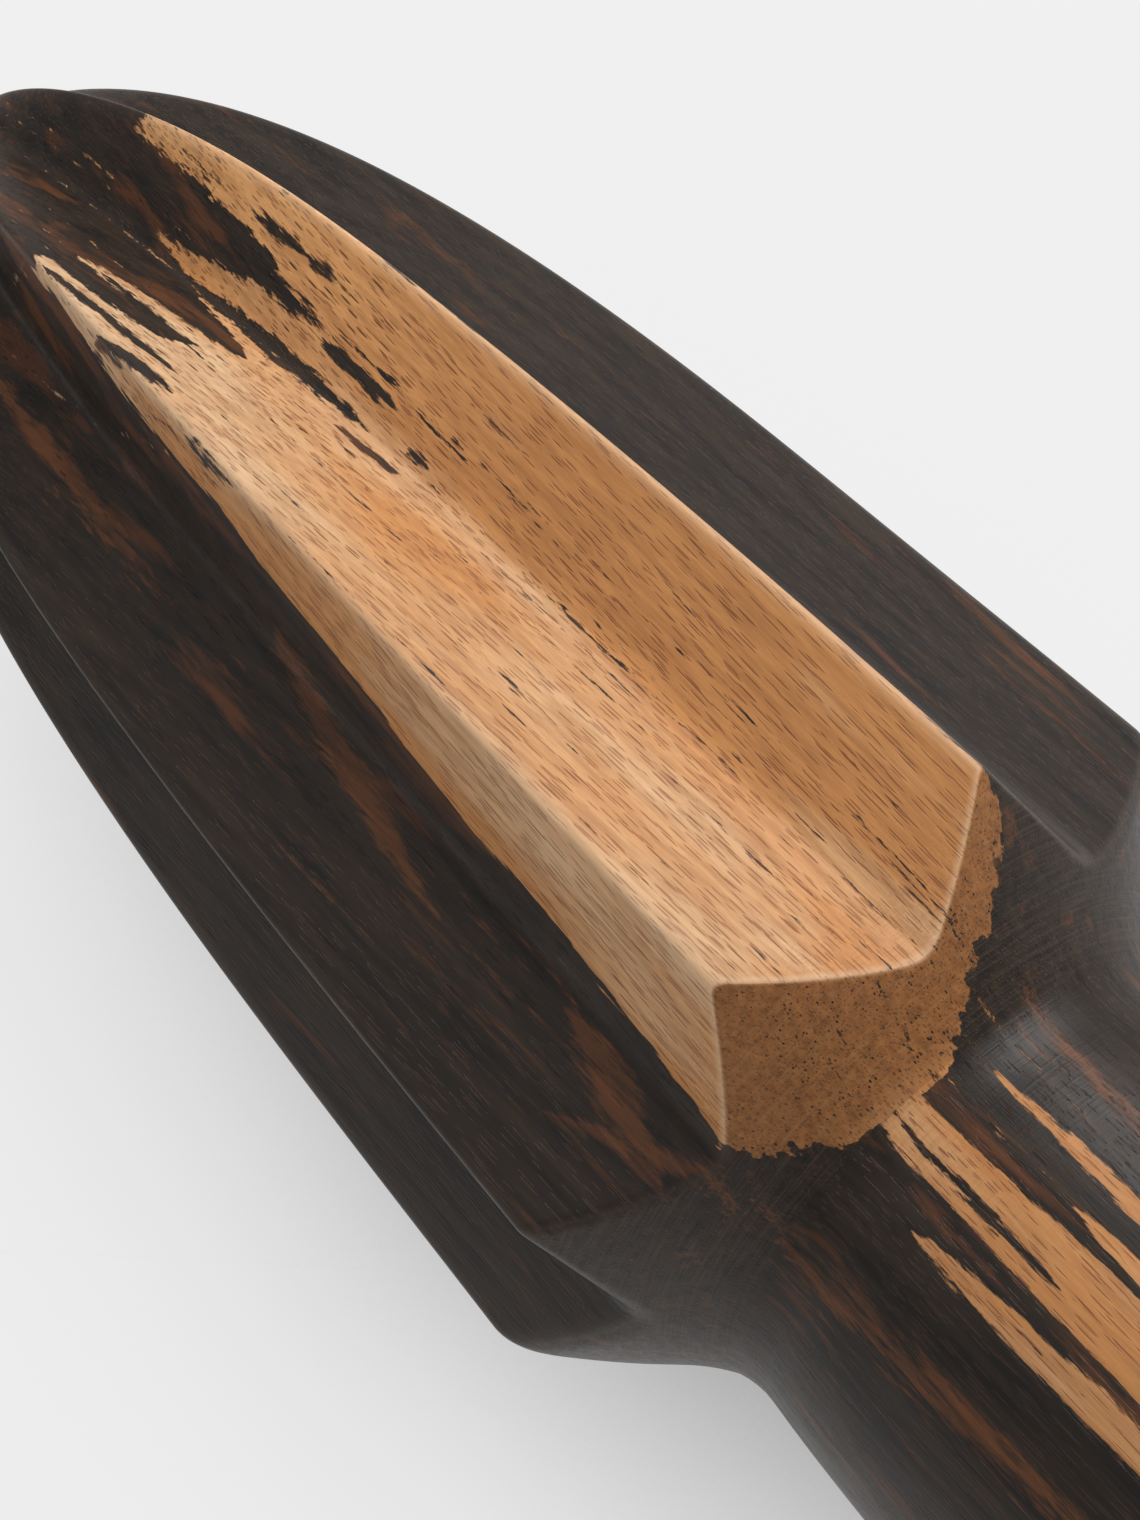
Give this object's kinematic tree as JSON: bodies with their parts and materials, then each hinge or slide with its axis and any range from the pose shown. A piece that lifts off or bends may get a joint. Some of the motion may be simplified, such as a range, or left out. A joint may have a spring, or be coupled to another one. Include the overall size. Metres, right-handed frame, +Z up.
{
  "type": "citrus reamer",
  "caption": "Hand-held wooden citrus reamer: fluted pointed head with sharp ridges, sloping shoulder, and a round swelling handle with a domed end.",
  "frame": {"origin": "middle of the footprint at ground level, with the reamer lying as it comes to rest on two ridges and its handle", "axes": "+X towards the handle end, -X towards the tip, +Y to the side, +Z up out of the uppermost flute; the lathe axis climbs slightly towards the tip"},
  "size_m": [0.153, 0.0424, 0.0423],
  "materials": {
    "ebony": "oiled satin, black-brown heartwood with a pale sapwood stripe"
  },
  "bodies": {
    "root": {"reamer": "ebony"}
  },
  "joints": []
}
